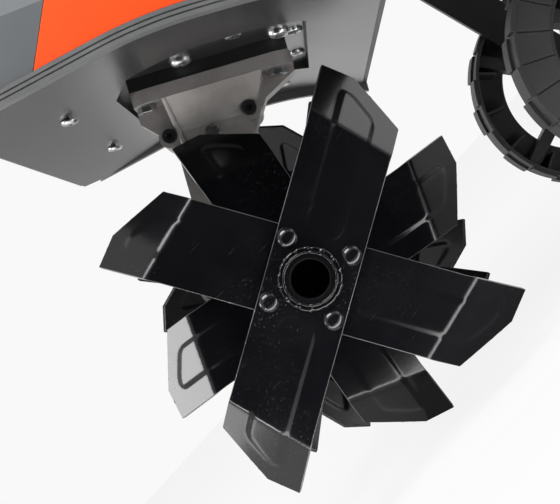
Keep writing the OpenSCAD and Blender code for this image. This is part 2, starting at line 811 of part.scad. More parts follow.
// Moulded rim along one side: a grooved band that hangs from the edge of the hood base
module side_rim() {
    groove = 0.8;
    line = rim_line(rim_start, base_rear, 0);
    difference() {
        union() {
            across(-rim_out, over - base_half_w)
                polygon(concat(line, reverse(rim_line(rim_start, base_rear, rim_h))));
            across(-base_half_w, base_wall_t - base_half_w)
                polygon(concat(line, reverse(arch_line(rim_start, base_rear, base_foot + base_edge_h / 2))));
        }
        for (share = [0.3, 0.62]) across(-rim_out - groove, groove - rim_out)
            polygon(concat(rim_line(base_front, base_rear + over, share * rim_h),
                reverse(rim_line(base_front, base_rear + over, share * rim_h + groove))));
    }
}

module hood_base() {
    low = base_foot;
    color("#3a3c3f") park() difference() {
        union() {
            difference() {
                arch(base_front, base_rear, low, low + base_edge_h, -base_half_w, base_half_w);
                arch(base_front - base_edge_w, base_rear - base_edge_w, low + base_t,
                    low + base_edge_h + over, base_edge_w - base_half_w, base_half_w - base_edge_w);
            }
            for (right = [false, true]) on_side(right) side_rim();
        }
        front_corners(base_front, base_half_w, corner_cut);
        pan_block(guard_t + gap, 2 * guard_h);
        screw_holes(guard_screw_xy, guard_screw_r + run);
    }
}

// Hood shell: one hull, inset by its wall, parted from the front panel by a leaning plane

module hood_form(inset) {
    foot_front = base_front - 4;
    foot_half = rim_out - over;
    front_r = 26;
    rear_r = 12;
    top_front_r = 32;
    top_rear_r = 22;
    hull() for (side = [-1, 1], $fn = 32) {
        translate([front_r - foot_front, side * (foot_half - front_r), 0])
            cylinder(r = front_r - inset, h = guard_h + 18 - inset);
        translate([hood_rear - rear_r, side * (foot_half - rear_r), 0])
            cylinder(r = rear_r - inset, h = guard_h + 34 - inset);
        translate([hood_top_front[0], side * hood_top_front[1], hood_top - top_front_r])
            sphere(r = top_front_r - inset);
        translate([hood_rear - top_rear_r, side * hood_top_rear_y, hood_top - top_rear_r])
            sphere(r = top_rear_r - inset);
    }
}

module hood_shell() {
    difference() {
        hood_form(0);
        hood_form(hood_wall);
        below(rim_line(2 * guard_h, 2 * guard_h, rim_h + gap), 2 * guard_h);
        under_arch(base_foot + base_edge_h + gap, base_half_w + gap / 2);
    }
}

// Everything ahead of the parting plane
module ahead(shift) {
    reach = 3 * guard_h;
    across(-reach, reach) polygon([[front_split + shift - split_foot * split_lean, 0],
        [front_split + shift + (reach - split_foot) * split_lean, reach], [-reach, reach], [-reach, 0]]);
}

module bay_cut(play) {
    half = battery_w / 2 + bay_play + bay_wall + play;
    box([bay_front - play, -half, bay_foot - play], [bay_rear + play, half, hood_top + over]);
}

module hood() {
    color("#e8501a") park() difference() {
        hood_shell();
        ahead(gap);
        bay_cut(gap);
        frame_screw_places() rotate([0, 90, 0]) cylinder(r = screw_r + run, h = frame_h, center = true);
    }
}

module front_panel() {
    color("#5d656a") park() difference() {
        intersection() {
            hood_shell();
            ahead(0);
        }
        for (k = [0 : vents - 1]) translate([-base_front, 0, vent_foot + vent_step * k])
            box([-over, -vent_half, 0], [guard_h, vent_half, vent_h]);
    }
}

module control_box() {
    color("#26282b") park() difference() {
        box([pan_front - 8 - controls_l, -controls_half, 0], [pan_front - 8, controls_half, controls_top]);
        under_arch(base_foot + base_t);
    }
}

module battery_bay() {
    half = battery_w / 2 + bay_play + bay_wall;
    color("#2b2d30") park() difference() {
        box([bay_front, -half, bay_foot], [bay_rear, half, hood_top - 2]);
        box([bay_front + bay_wall, bay_wall - half, bay_foot + bay_wall],
            [bay_rear - bay_wall, half - bay_wall, hood_top + over]);
    }
}

module battery_pack() {
    half = battery_w / 2;
    edge = 6;
    top = battery_foot + battery_h;
    color("#35373a") park() translate([battery_x, 0, 0]) difference() {
        union() {
            box([-battery_l / 2, -half, battery_foot], [battery_l / 2, half, top - edge]);
            box([edge - battery_l / 2, edge - half, top - edge - over],
                [battery_l / 2 - edge, half - edge, top]);
        }
        translate([0, 0, top - 10]) cylinder(r = latch_r + gap, h = 20);
    }
}

module battery_latch() {
    top = battery_foot + battery_h;
    color("#d8551f") park() translate([battery_x, 0, top - 10 + latch_travel + gap])
        cylinder(r = latch_r, h = 10);
}

// Rear frame and wheels

module frame_screw_places() {
    for (y = [-frame_screw_y, frame_screw_y], z = [frame_foot + frame_screw_in, frame_top - frame_screw_in])
        translate([frame_x, y, z]) children();
}

module rear_frame() {
    half = lower_y + tube_r + 2;
    color("#1b1c1e") park() difference() {
        box([frame_x, -half, frame_foot], [frame_back, half, frame_top]);
        frame_screw_places() rotate([0, 90, 0]) cylinder(r = screw_r + run, h = frame_h, center = true);
        for (right = [false, true]) on_side(right) arm_bolt_places()
            cylinder(r = arm_bolt_r + run, h = frame_h, center = true);
    }
}

module frame_screws() {
    color("#c9cacb") park() frame_screw_places() rotate([0, 90, 0]) {
        translate([0, 0, -8]) cylinder(r = screw_r, h = 8 + frame_t + over);
        translate([0, 0, frame_t]) cylinder(r = screw_head_r + 1, h = 3);
    }
}

module arm_bolt_places() {
    for (z = [arm_foot_z + arm_bolt_in, arm_foot_z + arm_foot_h - arm_bolt_in])
        translate([frame_x, arm_foot_w / 2 - arm_y, z]) rotate([0, 90, 0]) children();
}

// A wheel arm: a bent plate, its foot flat against the rear frame
module wheel_arm(right) {
    color("#141517") park() on_side(right) difference() {
        union() {
            across(-arm_y - arm_t, -arm_y) hull() {
                translate([frame_back, arm_foot_z]) square([arm_t, arm_foot_h]);
                translate([wheel_x, wheel_z]) circle(r = arm_boss_r);
            }
            box([frame_back, -arm_y - over, arm_foot_z],
                [frame_back + arm_t, arm_foot_w - arm_y, arm_foot_z + arm_foot_h]);
        }
        translate([wheel_x, 0, wheel_z]) rod_y(wheel_axle_r + run, -arm_y - 2 * arm_t, 0);
        arm_bolt_places() cylinder(r = arm_bolt_r + run, h = frame_h, center = true);
    }
}

module arm_bolts() {
    color("#c9cacb") park() for (right = [false, true]) on_side(right) arm_bolt_places() {
        translate([0, 0, gap]) cylinder(r = arm_bolt_r, h = frame_t + arm_t - gap + over);
        translate([0, 0, frame_t + arm_t]) cylinder(r = arm_bolt_head_r, h = arm_bolt_head_h);
    }
}

module wheel_axle() {
    color("silver") park() translate([wheel_x, 0, wheel_z])
        rod_y(wheel_axle_r, -wheel_out - cap_w + 1, wheel_out + cap_w - 1);
}

module axle_caps() {
    color("#1b1c1e") park() translate([wheel_x, 0, wheel_z]) for (right = [false, true]) on_side(right)
        difference() {
            rod_y(wheel_axle_r + 6, -wheel_out - cap_w, -wheel_out - gap);
            rod_y(wheel_axle_r + run, -wheel_out - cap_w + 1, -wheel_out + over);
        }
}

// A moulded wheel: an open drum on spokes, its tread two rows of staggered blocks
module wheel(right) {
    rim_r = wheel_r - tread;
    mid = (wheel_in + wheel_out) / 2;
    color("#26282a") park() translate([wheel_x, 0, wheel_z]) on_side(right) difference() {
        union() {
            ring_y(wheel_r, rim_r, -wheel_out, -wheel_in);
            ring_y(rim_r + over, window_r, -mid - wheel_web / 2, -mid + wheel_web / 2);
            ring_y(wheel_hub_r, wheel_axle_r + run, -wheel_out, -wheel_in);
            for (k = [0 : spokes - 1]) rotate([0, 360 * k / spokes, 0])
                box([wheel_hub_r - over, -mid - spoke_w / 2, -spoke_t / 2],
                    [rim_r + over, -mid + spoke_w / 2, spoke_t / 2]);
        }
        for (k = [0 : blocks - 1]) rotate([0, 360 * k / blocks, 0]) {
            box([wheel_r - block_cut, -wheel_out - over, -block_half], [wheel_r + over, -mid, block_half]);
            rotate([0, 180 / blocks, 0])
                box([wheel_r - block_cut, -mid, -block_half], [wheel_r + over, over - wheel_in, block_half]);
        }
    }
}

// Handle

module tube_z(z0, z1) {
    ring_z(tube_r, tube_r - tube_wall, z0, z1);
}

// Lug on a lower tube that the tail of the upper handle rests against
module stop_lug() {
    box([-tube_r - stop_t, -upper_y - tube_r / 2, -tail_l], [-tube_r - gap, -lower_y, stop_l - tail_l]);
    box([-tube_r - stop_t, -lower_y - tube_r / 3, -tail_l],
        [-tube_r + 2, -lower_y + tube_r / 3, stop_l - tail_l]);
}

module lower_tube(right) {
    color("#1b1c1e") park() on_side(right) difference() {
        union() {
            along_handle() translate([0, -lower_y, 0]) tube_z(-lower_l - 2 * tube_d, tube_d);
            along_handle() difference() {
                stop_lug();
                translate([0, -lower_y, -2 * tail_l]) cylinder(r = tube_r - tube_wall / 2, h = 3 * tail_l);
            }
        }
        box([-lower_l, -2 * lower_y, -lower_l], [frame_back, 0, 2 * lower_l]);
        along_handle() rod_y(fold_r + run, -2 * lower_y, 0);
    }
}

module handle_corner() {
    translate([0, handle_bend_r, 0]) rotate([90, 0, -90]) rotate_extrude(angle = 90)
        translate([handle_bend_r, 0]) difference() {
            circle(r = tube_r);
            circle(r = tube_r - tube_wall);
        }
}

module upper_handle() {
    corner_z = upper_l - handle_bend_r;
    color("#1b1c1e") park() along_handle() {
        for (right = [false, true]) on_side(right) {
            translate([0, -upper_y, 0]) difference() {
                tube_z(-tail_l, corner_z);
                rod_y(fold_r + run, -tube_d, tube_d);
            }
            translate([0, -upper_y, corner_z]) handle_corner();
        }
        translate([0, 0, upper_l]) ring_y(tube_r, tube_r - tube_wall, -grip_end, grip_end);
    }
}

module fold_bolts() {
    color("silver") park() along_handle() for (right = [false, true]) on_side(right) {
        rod_y(fold_r, -knob_y - knob_w / 2, -lower_y + tube_r);
        rod_y(2 * fold_r, -lower_y + tube_r, -lower_y + tube_r + 5);
    }
}

module fold_knob(right) {
    color("#202225") park() along_handle() on_side(right) difference() {
        union() {
            rod_y(knob_r - 5, -knob_y - knob_w, -knob_y);
            for (k = [0 : knob_lobes - 1]) rotate([0, 360 * k / knob_lobes, 0])
                translate([knob_r - 6, 0, 0]) rod_y(6, -knob_y - knob_w, -knob_y - 4);
        }
        rod_y(fold_r + run, -knob_y - knob_w / 2 - over, 0);
    }
}

module grip(right) {
    color("#1f2022") park() along_handle() on_side(right) translate([0, 0, upper_l])
        ring_y(grip_d / 2, tube_r + run, -grip_end, -box_half - gap);
}

module switch_box() {
    color("#2b2d30") park() along_handle() translate([0, 0, upper_l]) {
        difference() {
            box([-box_front, -box_half, -box_low], [box_back, box_half, box_high]);
            rod_y(tube_r + run, -2 * box_half, 2 * box_half);
            translate([button_x, 0, box_high - button_h]) cylinder(r = button_r + gap, h = 2 * button_h);
        }
        for (right = [false, true]) on_side(right) translate([bar_pivot[0], 0, bar_pivot[1]])
            rod_y(bar_pin_r, -box_half - bar_ear - 1, -box_half + over);
    }
}

module trigger_bar() {
    ear_y = box_half + gap;
    color("#e8501a") park() along_handle() translate([0, 0, upper_l]) {
        translate([2, 0, -bar_drop]) rod_y(bar_r, -bar_half, bar_half);
        for (right = [false, true]) on_side(right) difference() {
            across(-ear_y - bar_ear, -ear_y) hull() {
                translate(bar_pivot) circle(r = 6);
                translate([2, -bar_drop]) circle(r = bar_r + 1.5);
            }
            translate([bar_pivot[0], 0, bar_pivot[1]]) rod_y(bar_pin_r + run, -2 * ear_y, 0);
        }
    }
}

module lock_button() {
    top = upper_l + box_high + button_proud;
    color("#d8551f") park() along_handle() translate([button_x, 0, top - button_h + 2])
        cylinder(r = button_r, h = button_h - 2);
}

blade(false, 0, outer_disc_y, false);  // left_outer_blade_front
blade(false, 0, outer_disc_y, true);  // left_outer_blade_back
blade(false, 1, inner_disc_y, false);  // left_inner_blade_front
blade(false, 1, inner_disc_y, true);  // left_inner_blade_back
blade(true, 3, outer_disc_y, false);  // right_outer_blade_front
blade(true, 3, outer_disc_y, true);  // right_outer_blade_back
blade(true, 2, inner_disc_y, false);  // right_inner_blade_front
blade(true, 2, inner_disc_y, true);  // right_inner_blade_back
hub(false);  // left_hub
hub(true);  // right_hub
rivets(false);  // left_rivets
rivets(true);  // right_rivets
hub_pins();
pin_clips();
tine_shaft();
worm_wheel();
gearbox_half(false);  // gearbox_left
gearbox_half(true);  // gearbox_right
gearbox_screws();
flange_spacer();
flange_bolts();
grease_plug();
tine_bearings();
shaft_seals();
worm();
worm_shaft();
worm_bearings();
shaft_coupling();
motor_can();
motor_rotor();
cooling_fan();
guard_plate();
guard_screws();
hood_base();
hood();
front_panel();
control_box();
battery_bay();
battery_pack();
battery_latch();
rear_frame();
frame_screws();
wheel_arm(false);  // left_wheel_arm
wheel_arm(true);  // right_wheel_arm
arm_bolts();
wheel_axle();
wheel(false);  // left_wheel
wheel(true);  // right_wheel
axle_caps();
lower_tube(false);  // left_lower_tube
lower_tube(true);  // right_lower_tube
upper_handle();
fold_bolts();
fold_knob(false);  // left_fold_knob
fold_knob(true);  // right_fold_knob
grip(false);  // left_grip
grip(true);  // right_grip
switch_box();
trigger_bar();
lock_button();
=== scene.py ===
import json
import math

import bmesh
import bpy
from mathutils import Matrix, Quaternion, Vector


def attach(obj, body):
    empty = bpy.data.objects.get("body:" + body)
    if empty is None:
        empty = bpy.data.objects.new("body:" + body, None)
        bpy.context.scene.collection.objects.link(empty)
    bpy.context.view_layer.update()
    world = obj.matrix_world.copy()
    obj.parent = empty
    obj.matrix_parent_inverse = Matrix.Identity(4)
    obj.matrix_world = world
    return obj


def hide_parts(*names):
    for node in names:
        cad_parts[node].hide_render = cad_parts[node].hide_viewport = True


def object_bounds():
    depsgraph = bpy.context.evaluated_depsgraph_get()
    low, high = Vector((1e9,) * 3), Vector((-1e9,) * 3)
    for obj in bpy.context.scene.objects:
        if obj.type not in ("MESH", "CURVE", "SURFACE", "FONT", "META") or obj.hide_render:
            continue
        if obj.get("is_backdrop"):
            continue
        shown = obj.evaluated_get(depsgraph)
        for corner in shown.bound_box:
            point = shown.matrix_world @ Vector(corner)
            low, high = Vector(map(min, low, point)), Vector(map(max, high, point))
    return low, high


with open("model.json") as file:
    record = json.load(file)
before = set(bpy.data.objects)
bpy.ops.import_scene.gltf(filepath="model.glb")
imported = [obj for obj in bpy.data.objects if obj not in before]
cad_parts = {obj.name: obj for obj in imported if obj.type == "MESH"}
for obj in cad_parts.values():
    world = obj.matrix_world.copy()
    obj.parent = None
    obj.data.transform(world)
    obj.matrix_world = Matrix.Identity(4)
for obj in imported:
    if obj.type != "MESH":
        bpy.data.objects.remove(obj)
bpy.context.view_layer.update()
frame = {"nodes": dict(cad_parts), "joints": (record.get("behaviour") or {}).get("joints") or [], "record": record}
nodes = frame["nodes"]
joints = {joint["name"]: joint for joint in frame["joints"]}
record = frame["record"]
bodyOf = {node: body for body, group in record["behaviour"]["bodies"].items() for node in group}
slotOf = {part["node"]: part["material_slot"] for part in record["subparts"]}
print("frame loaded:", len(nodes), "nodes")

mm = 0.001
axle = Vector(joints["tine_spin"]["pos_m"])
machineUp = Vector(joints["worm_spin"]["axis"]).normalized()
machineRear = Vector((machineUp.z, 0, -machineUp.x))
acrossY = Vector((0, 1, 0))
# turns the machine's own axes (rear, across, up, from the tine axle, in mm) into the frame
machineAxes = Matrix((machineRear, acrossY, machineUp)).transposed().to_4x4()
machine = Matrix.Translation(axle) @ machineAxes @ Matrix.Scale(mm, 4)
scene = bpy.context.scene
scene.view_settings.view_transform = "Standard"


# shading: Wire does sums on sockets, Board adds every other node
class Wire:
    def __init__(self, board, made, socket):
        self.board, self.made, self.socket = board, made, socket

    def out(self, key):
        return Wire(self.board, self.made, self.made.outputs[key])

    def sums(self, operation, first, second):
        return self.board.add("ShaderNodeMath", {"operation": operation}, {0: first, 1: second})

    def __add__(self, other):
        return self.sums("ADD", self, other)

    __radd__ = __add__

    def __mul__(self, other):
        return self.sums("MULTIPLY", self, other)

    __rmul__ = __mul__


class Board:
    def __init__(self, nodeTree):
        self.nodeTree = nodeTree

    def add(self, kind, settings=None, sockets=None):
        made = self.nodeTree.nodes.new(kind)
        for key, value in (settings or {}).items():
            setattr(made, key, value)
        for key, value in (sockets or {}).items():
            if isinstance(value, Wire):
                self.nodeTree.links.new(value.socket, made.inputs[key])
            else:
                made.inputs[key].default_value = value
        return Wire(self, made, made.outputs[0]) if made.outputs else made


def grey(value):
    return (value, value, value, 1)


def noise(board, where, scale, detail=2, rough=0.5):
    return board.add("ShaderNodeTexNoise", None,
                     {"Vector": where, "Scale": scale, "Detail": detail, "Roughness": rough}).out(0)


def step(board, value, span):
    low, high = span
    return board.add("ShaderNodeMapRange", {"interpolation_type": "SMOOTHSTEP"},
                     {"Value": value, "From Min": low, "From Max": high})


def blend(board, factor, first, second):
    return board.add("ShaderNodeMix", {"data_type": "RGBA"}, {0: factor, 6: first, 7: second}).out(2)


def clearBoard(owner):
    owner.use_nodes = True
    owner.node_tree.nodes.clear()
    return Board(owner.node_tree)


# what all finishes share: the spans of noise that show, and how dust patches, scratches and pores lie
pattern = {"cloud": (0.35, 0.7), "fleck": (0.70, 0.76), "patch": (0.42, 0.7), "patchScale": 22,
           "line": (0.71, 0.76), "lineScale": (60, 200, 900), "lineTurn": (0.3, 0.2, 0.9), "poreShare": 0.7,
           "rough": 0.6, "fleckRough": 0.4}


def paint(name, look):
    # look: base, second and dust colours, roughness, grain and wear, all in one dictionary
    material = bpy.data.materials.new(name)
    board = clearBoard(material)
    where = board.add("ShaderNodeTexCoord").out("Object")
    cloud = noise(board, where, look["cloudScale"], 4, pattern["rough"])
    grain = noise(board, where, look["grainScale"], 3, pattern["rough"])
    base = blend(board, step(board, cloud, pattern["cloud"]), look["base"], look["second"])
    if look.get("specks"):
        flecks = noise(board, where, look["speckScale"], 1, pattern["fleckRough"])
        patch = step(board, noise(board, where, pattern["patchScale"], 3), pattern["patch"])
        mask = step(board, flecks, pattern["fleck"]) * patch * look["specks"]
        base = blend(board, mask, base, look["dust"])
    if look.get("scratches"):
        stretched = board.add("ShaderNodeMapping", None, {"Vector": where, "Scale": pattern["lineScale"],
                                                          "Rotation": pattern["lineTurn"]})
        lines = step(board, noise(board, stretched, 1.0, 2), pattern["line"])
        base = blend(board, lines * look["scratches"], base, look["dust"])
    rough = cloud * look["roughSpread"] + look["rough"]
    heights = grain
    if look.get("pores"):
        cells = board.add("ShaderNodeTexVoronoi", None, {"Vector": where, "Scale": look["pores"]})
        heights = cells.out("Distance") * pattern["poreShare"] + grain * (1 - pattern["poreShare"])
    bump = board.add("ShaderNodeBump", None, {"Strength": look["bump"], "Distance": look["bumpDepth"],
                                              "Height": heights})
    shader = board.add("ShaderNodeBsdfPrincipled", None, {
        "Base Color": base, "Roughness": rough, "Metallic": look.get("metal", 0.0), "Normal": bump,
        "Specular IOR Level": look.get("gloss", 0.5), "Coat Weight": look.get("coat", 0.0),
        "Coat Roughness": look.get("coatRough", 0.05)})
    board.add("ShaderNodeOutputMaterial", None, {"Surface": shader})
    return material


looks = {
    "blade_paint": {"base": (0.0026, 0.0026, 0.0034, 1), "second": (0.0044, 0.0044, 0.0054, 1),
                    "dust": grey(0.16), "rough": 0.10, "roughSpread": 0.14, "cloudScale": 17,
                    "grainScale": 520, "bump": 0.05, "bumpDepth": 0.0004, "specks": 0.4, "speckScale": 1500,
                    "scratches": 0.05, "gloss": 0.30, "coat": 0.08, "coatRough": 0.06},
    "zinc_steel": {"base": (0.66, 0.67, 0.68, 1), "second": (0.5, 0.51, 0.52, 1), "rough": 0.18,
                   "roughSpread": 0.2, "cloudScale": 240, "grainScale": 1500, "bump": 0.08,
                   "bumpDepth": 0.0002, "metal": 1.0},
    "gear_steel": {"base": (0.42, 0.43, 0.45, 1), "second": (0.33, 0.34, 0.36, 1), "rough": 0.22,
                   "roughSpread": 0.15, "cloudScale": 60, "grainScale": 1300, "bump": 0.06,
                   "bumpDepth": 0.0002, "metal": 1.0},
    "bronze": {"base": (0.5, 0.33, 0.14, 1), "second": (0.4, 0.26, 0.11, 1), "rough": 0.25,
               "roughSpread": 0.15, "cloudScale": 70, "grainScale": 1200, "bump": 0.06, "bumpDepth": 0.0002,
               "metal": 1.0},
    "case_alloy": {"base": (0.27, 0.254, 0.245, 1), "second": (0.21, 0.196, 0.188, 1), "rough": 0.36,
                   "roughSpread": 0.16, "cloudScale": 46, "grainScale": 1500, "bump": 0.22,
                   "bumpDepth": 0.0004, "metal": 0.35},
    "seal_rubber": {"base": grey(0.02), "second": grey(0.03), "rough": 0.6, "roughSpread": 0.1,
                    "cloudScale": 60, "grainScale": 900, "bump": 0.1, "bumpDepth": 0.0003},
    "guard_paint": {"base": (0.024, 0.024, 0.0245, 1), "second": (0.032, 0.032, 0.0325, 1),
                    "dust": grey(0.22), "rough": 0.17, "roughSpread": 0.12, "cloudScale": 11,
                    "grainScale": 620, "bump": 0.05, "bumpDepth": 0.0004, "specks": 0.4, "speckScale": 640,
                    "gloss": 0.6},
    "rim_plastic": {"base": (0.085, 0.086, 0.088, 1), "second": (0.105, 0.106, 0.108, 1), "rough": 0.42,
                    "roughSpread": 0.14, "cloudScale": 30, "grainScale": 1800, "bump": 0.16,
                    "bumpDepth": 0.0003},
    "hood_plastic": {"base": (0.80, 0.072, 0.011, 1), "second": (0.74, 0.063, 0.009, 1), "rough": 0.2,
                     "roughSpread": 0.12, "cloudScale": 9, "grainScale": 420, "bump": 0.03,
                     "bumpDepth": 0.0004, "coat": 0.25},
    "panel_plastic": {"base": (0.078, 0.084, 0.091, 1), "second": (0.068, 0.072, 0.079, 1), "rough": 0.4,
                      "roughSpread": 0.12, "cloudScale": 14, "grainScale": 1900, "bump": 0.14,
                      "bumpDepth": 0.0003},
    "black_plastic": {"base": (0.012, 0.0123, 0.0135, 1), "second": (0.017, 0.0173, 0.0185, 1),
                      "dust": grey(0.12), "rough": 0.42, "roughSpread": 0.16, "cloudScale": 24,
                      "grainScale": 1700, "bump": 0.18, "bumpDepth": 0.0003, "specks": 0.25,
                      "speckScale": 900},
    "motor_steel": {"base": grey(0.08), "second": grey(0.06), "rough": 0.35, "roughSpread": 0.15,
                    "cloudScale": 40, "grainScale": 900, "bump": 0.08, "bumpDepth": 0.0003, "metal": 0.5},
    "frame_paint": {"base": (0.008, 0.008, 0.009, 1), "second": (0.012, 0.012, 0.013, 1),
                    "dust": grey(0.14), "rough": 0.26, "roughSpread": 0.16, "cloudScale": 20,
                    "grainScale": 760, "bump": 0.1, "bumpDepth": 0.0004, "specks": 0.2, "speckScale": 800,
                    "gloss": 0.55},
    "foam": {"base": (0.021, 0.021, 0.022, 1), "second": (0.032, 0.032, 0.033, 1), "rough": 0.82,
             "roughSpread": 0.1, "cloudScale": 60, "grainScale": 900, "bump": 0.5, "bumpDepth": 0.0006,
             "pores": 620, "gloss": 0.25},
    "button_plastic": {"base": (0.84, 0.1, 0.018, 1), "second": (0.76, 0.085, 0.014, 1), "rough": 0.26,
                       "roughSpread": 0.12, "cloudScale": 40, "grainScale": 900, "bump": 0.06,
                       "bumpDepth": 0.0003},
}
finishes = {slot: paint(slot, look) for slot, look in looks.items()}
# blade edge bevels: lighter grey with pale flecks, partly wear and partly a painted highlight where the sheared
# edges catch the light
wornAndHighlitEdge = {"base": (0.03, 0.03, 0.031, 1), "second": (0.11, 0.11, 0.108, 1), "dust": grey(0.5),
            "rough": 0.24, "roughSpread": 0.2, "cloudScale": 34, "grainScale": 700, "bump": 0.1,
            "bumpDepth": 0.0003, "specks": 0.8, "speckScale": 420, "gloss": 0.6}
edgeWearAndHighlight = paint("blade_edge", wornAndHighlitEdge)
# thicker, glossier paint on the rivets and welds, and the unlit inside of the hub
glossFinish = paint("blade_gloss", {**looks["blade_paint"], "gloss": 0.45, "coat": 0.15, "scratches": 0,
                                    "rough": 0.10, "roughSpread": 0.12})
boreFinish = paint("hub_bore", {**looks["blade_paint"], "base": grey(0.003), "second": grey(0.004),
                                "gloss": 0.15, "coat": 0.0, "scratches": 0, "specks": 0, "rough": 0.5})
print("finishes:", len(finishes))


# pieces
def addPiece(name, shape, body, slot, stands=(), finish=None):
    mesh = bpy.data.meshes.new(name)
    shape.to_mesh(mesh)
    shape.free()
    mesh.shade_smooth()
    piece = bpy.data.objects.new(name, mesh)
    scene.collection.objects.link(piece)
    mesh.materials.append(finish or finishes[slot])
    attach(piece, body)
    if stands:
        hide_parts(*stands)
    return piece


def addBevel(piece, width, segments=2, angle=30):
    bevel = piece.modifiers.new("edges", "BEVEL")
    bevel.width, bevel.segments, bevel.profile = width, segments, 0.5
    bevel.limit_method, bevel.angle_limit = "ANGLE", math.radians(angle)
    bevel.harden_normals = True
    return bevel


def sharpen(piece, angle):
    piece.data.set_sharp_from_angle(angle=math.radians(angle))


def mirrorLeft(shape, side):
    # a shape that was drawn for the right is turned over for the left
    if side < 0:
        bmesh.ops.scale(shape, vec=(1, -1, 1), verts=shape.verts)
        bmesh.ops.reverse_faces(shape, faces=shape.faces)


def softenNode(node, width, segments=2, angle=30, shaping=None):
    # a copy of a CAD node with its flat faces joined and its edges rounded
    shape = bmesh.new()
    shape.from_mesh(nodes[node].data)
    bmesh.ops.remove_doubles(shape, verts=shape.verts, dist=1e-6)
    bmesh.ops.dissolve_limit(shape, angle_limit=math.radians(0.5), verts=shape.verts, edges=shape.edges)
    if shaping:
        shaping(shape)
    piece = addPiece(node + "_round", shape, bodyOf[node], slotOf[node], [node])
    sharpen(piece, angle)
    addBevel(piece, width, segments, angle)
    return piece


for node, piece in nodes.items():
    piece.data.materials.clear()
    piece.data.materials.append(finishes[slotOf[node]])

# blade strips: a fine grid trimmed to the outline, then bent, stamped with its ribs and given thickness
blade = {"width": 45, "thick": 3, "reach": 110, "flare": 2, "tipFlat": 17, "tipFall": 2, "shoulder": 84,
         "bendAt": 74, "skew": 15, "bend": 42, "bendRadius": 4.5, "edge": 0.32, "cell": 1.25,
         "ribHalf": 10.5, "ribStart": 18.5, "ribLong": 97, "ribShort": 84, "ribTop": 5, "ribCorner": 4,
         "ribWall": 2.4, "ribDepth": 0.75, "hole": 13.2,
         "sheet": 2.88, "slopeStep": 0.1, "edgeAngle": 50}
discs = {"left_outer": {"side": -1, "y": 120, "clock": 50.5},
         "left_inner": {"side": -1, "y": 51, "clock": 90},
         "right_inner": {"side": 1, "y": 51, "clock": 46.5},
         "right_outer": {"side": 1, "y": 120, "clock": 27}}
bladeHalf = blade["width"] / 2
tipX = bladeHalf + blade["flare"]
tipZ = math.sqrt(blade["reach"] ** 2 - tipX ** 2)
tipLag = math.degrees(math.atan2(tipX, tipZ))  # from an arm's middle line to its longest corner


def bladeRise(distance):
    # how far the bent sheet stands off its flat middle at a distance from the axle across the bend line
    start = blade["bendAt"] * math.cos(math.radians(blade["skew"]))
    start -= blade["bendRadius"] * math.tan(math.radians(blade["bend"] / 2))
    past = (distance - start) / blade["bendRadius"]
    full = math.radians(blade["bend"])
    if past <= 0:
        return 0.0
    if past < math.sin(full):
        return blade["bendRadius"] * (1 - math.sqrt(1 - past * past))
    return blade["bendRadius"] * (1 - math.cos(full) + (past - math.sin(full)) * math.tan(full))


def ribRise(x, z):
    # how far the stamped rib stands out of the flat sheet at a place on one arm
    half, corner = blade["ribHalf"], blade["ribCorner"]
    startZ = blade["ribStart"] + half
    slope = Vector((blade["ribLong"] - blade["ribShort"], 2 * half - blade["ribTop"])).normalized()
    reach = slope.dot(Vector((half, blade["ribShort"])))
    outside = [abs(x) - half, z - blade["ribLong"], slope.dot(Vector((x, z))) - reach]
    if z < startZ:
        depth = half - math.hypot(x, z - startZ)
    else:
        past = [max(way + corner, 0) for way in outside]
        depth = corner - math.sqrt(sum(way * way for way in past))
        if max(past) == 0:
            depth = -max(outside)
    share = min(max(depth / blade["ribWall"], 0), 1)
    return blade["ribDepth"] * share * share * (3 - 2 * share)


def bladeStrip():
    shape = bmesh.new()
    half = bladeHalf
    cellsWide, cellsLong = [round(2 * reach / blade["cell"]) for reach in (half, tipZ)]
    bmesh.ops.create_grid(shape, x_segments=cellsWide, y_segments=cellsLong, size=1,
                          matrix=Matrix.Diagonal((half, tipZ, 1, 1)))
    bmesh.ops.rotate(shape, verts=shape.verts, matrix=Matrix.Rotation(math.radians(90), 3, "X"))
    tip = [(-half, tipZ), (blade["tipFlat"] - half, tipZ - blade["tipFall"]), (half, blade["shoulder"])]
    for (x, z), (nextX, nextZ) in zip(tip, tip[1:]):
        for arm in (1, -1):
            bmesh.ops.bisect_plane(shape, geom=shape.verts[:] + shape.edges[:] + shape.faces[:], dist=0.02,
                                   plane_co=(x * arm, 0, z * arm), clear_outer=True,
                                   plane_no=Vector((z - nextZ, 0, nextX - x)) * arm)
    skew = math.radians(blade["skew"])
    acrossBend = Vector((math.sin(skew), 0, math.cos(skew)))
    for vert in shape.verts:
        arm = 1 if vert.co.z > 0 else -1
        x, z = vert.co.x * arm, vert.co.z * arm
        flare = max(z - blade["bendAt"], 0) / (tipZ - blade["bendAt"])
        wide = x - blade["flare"] * flare * (half - x) / blade["width"]
        place = Vector((wide, 0, z))
        far = place.dot(acrossBend)
        slope = bladeRise(far + blade["slopeStep"]) - bladeRise(far - blade["slopeStep"])
        lean = math.atan(slope / (2 * blade["slopeStep"]))
        out = Vector((0, -math.cos(lean), 0)) + acrossBend * math.sin(lean)
        place.y = bladeRise(far)
        place += out * ribRise(x, z)
        vert.co = Vector((place.x * arm, place.y, place.z * arm))
    inside = [face for face in shape.faces if face.calc_center_median().length < blade["hole"]]
    bmesh.ops.delete(shape, geom=inside, context="FACES")
    shape.normal_update()
    if sum(face.normal.y for face in shape.faces) > 0:
        bmesh.ops.reverse_faces(shape, faces=shape.faces)
    return shape


